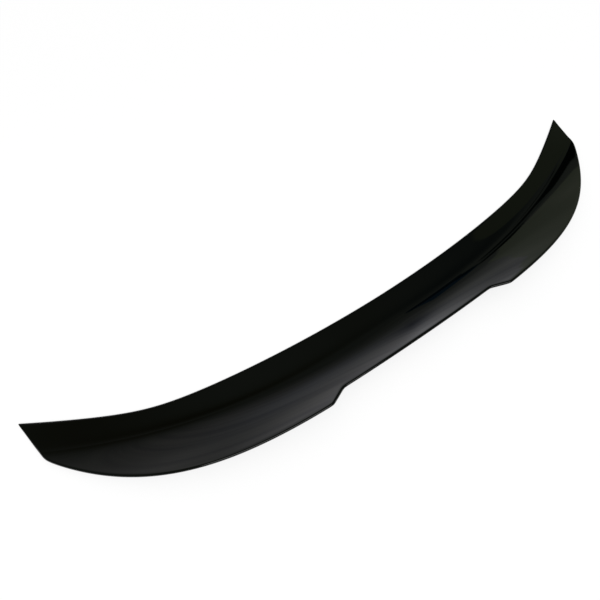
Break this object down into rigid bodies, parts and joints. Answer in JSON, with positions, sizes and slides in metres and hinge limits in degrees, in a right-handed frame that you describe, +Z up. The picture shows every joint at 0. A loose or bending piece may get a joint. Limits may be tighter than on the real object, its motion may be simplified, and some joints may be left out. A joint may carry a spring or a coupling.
{
  "type": "car rear spoiler",
  "caption": "Crescent boot-lid spoiler: one gloss black moulding with a soft fold, a kicked-up trailing panel with a shallow notch, and a ribbed open underside.",
  "frame": {"origin": "middle of the part's box in plan, on the seat plane that its bonding lands share", "axes": "+X along the span, to the right as seen from behind the car; +Y towards the front of the car, where the tips point; +Z up from the seat"},
  "size_m": [1.2, 0.2422, 0.0484],
  "materials": {
    "gloss_black": "polished gloss black, painted or moulded in colour, with a slight waviness"
  },
  "bodies": {
    "root": {"spoiler": "gloss_black"}
  },
  "joints": []
}
